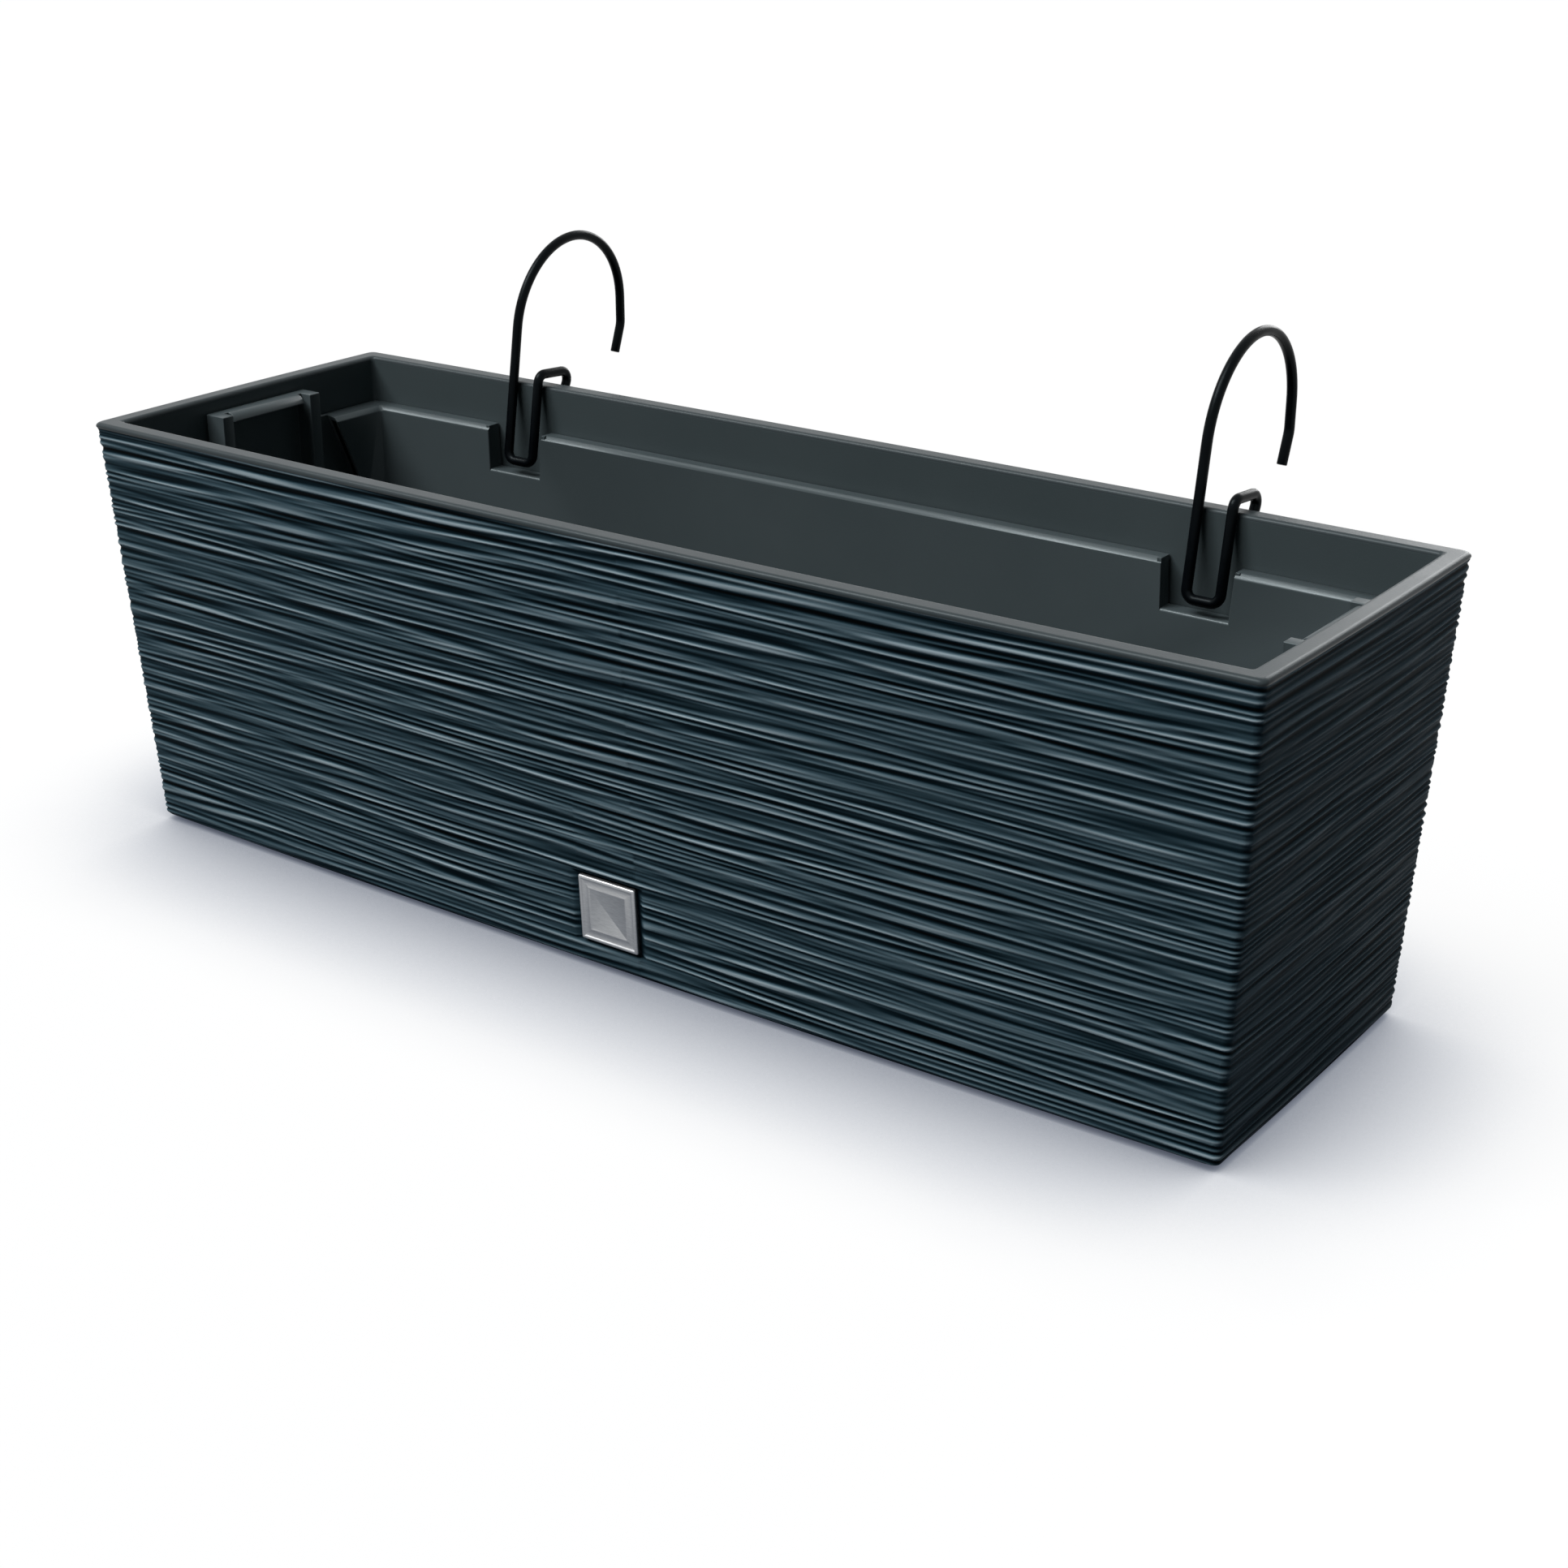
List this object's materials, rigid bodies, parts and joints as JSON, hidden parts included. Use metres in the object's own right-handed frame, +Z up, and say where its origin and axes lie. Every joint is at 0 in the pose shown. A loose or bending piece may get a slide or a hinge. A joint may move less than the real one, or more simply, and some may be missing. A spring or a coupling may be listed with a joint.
{
  "type": "window box planter",
  "caption": "Long ribbed planter box with a lift-out insert that has grip handles, and wire hooks that clip over its back rim to hang it on a railing.",
  "frame": {"origin": "centre of the flat foot that the case stands on", "axes": "+X along the box, +Y towards the back where the hooks are, +Z up"},
  "size_m": [0.5798, 0.2541, 0.26],
  "materials": {
    "case_plastic": "slate blue-grey moulded plastic with an uneven ribbed texture",
    "insert_plastic": "dark grey moulded plastic with a light grain",
    "hook_wire": "black coated steel wire with a soft shine",
    "badge_metal": "silver grey plate with a raised border"
  },
  "bodies": {
    "case": {"case": "case_plastic", "badge": "badge_metal"},
    "insert": {"insert": "insert_plastic"},
    "hook_left": {"hook_left": "hook_wire"},
    "hook_right": {"hook_right": "hook_wire"}
  },
  "joints": [
    {"name": "insert_lift", "type": "slide", "parent": "case", "child": "insert", "axis": [0, 0, 1], "range_m": [0, 0.2]},
    {"name": "hook_left_lift", "type": "slide", "parent": "insert", "child": "hook_left", "axis": [0, 0, 1], "range_m": [0, 0.06]},
    {"name": "hook_right_lift", "type": "slide", "parent": "insert", "child": "hook_right", "axis": [0, 0, 1], "range_m": [0, 0.06]}
  ]
}
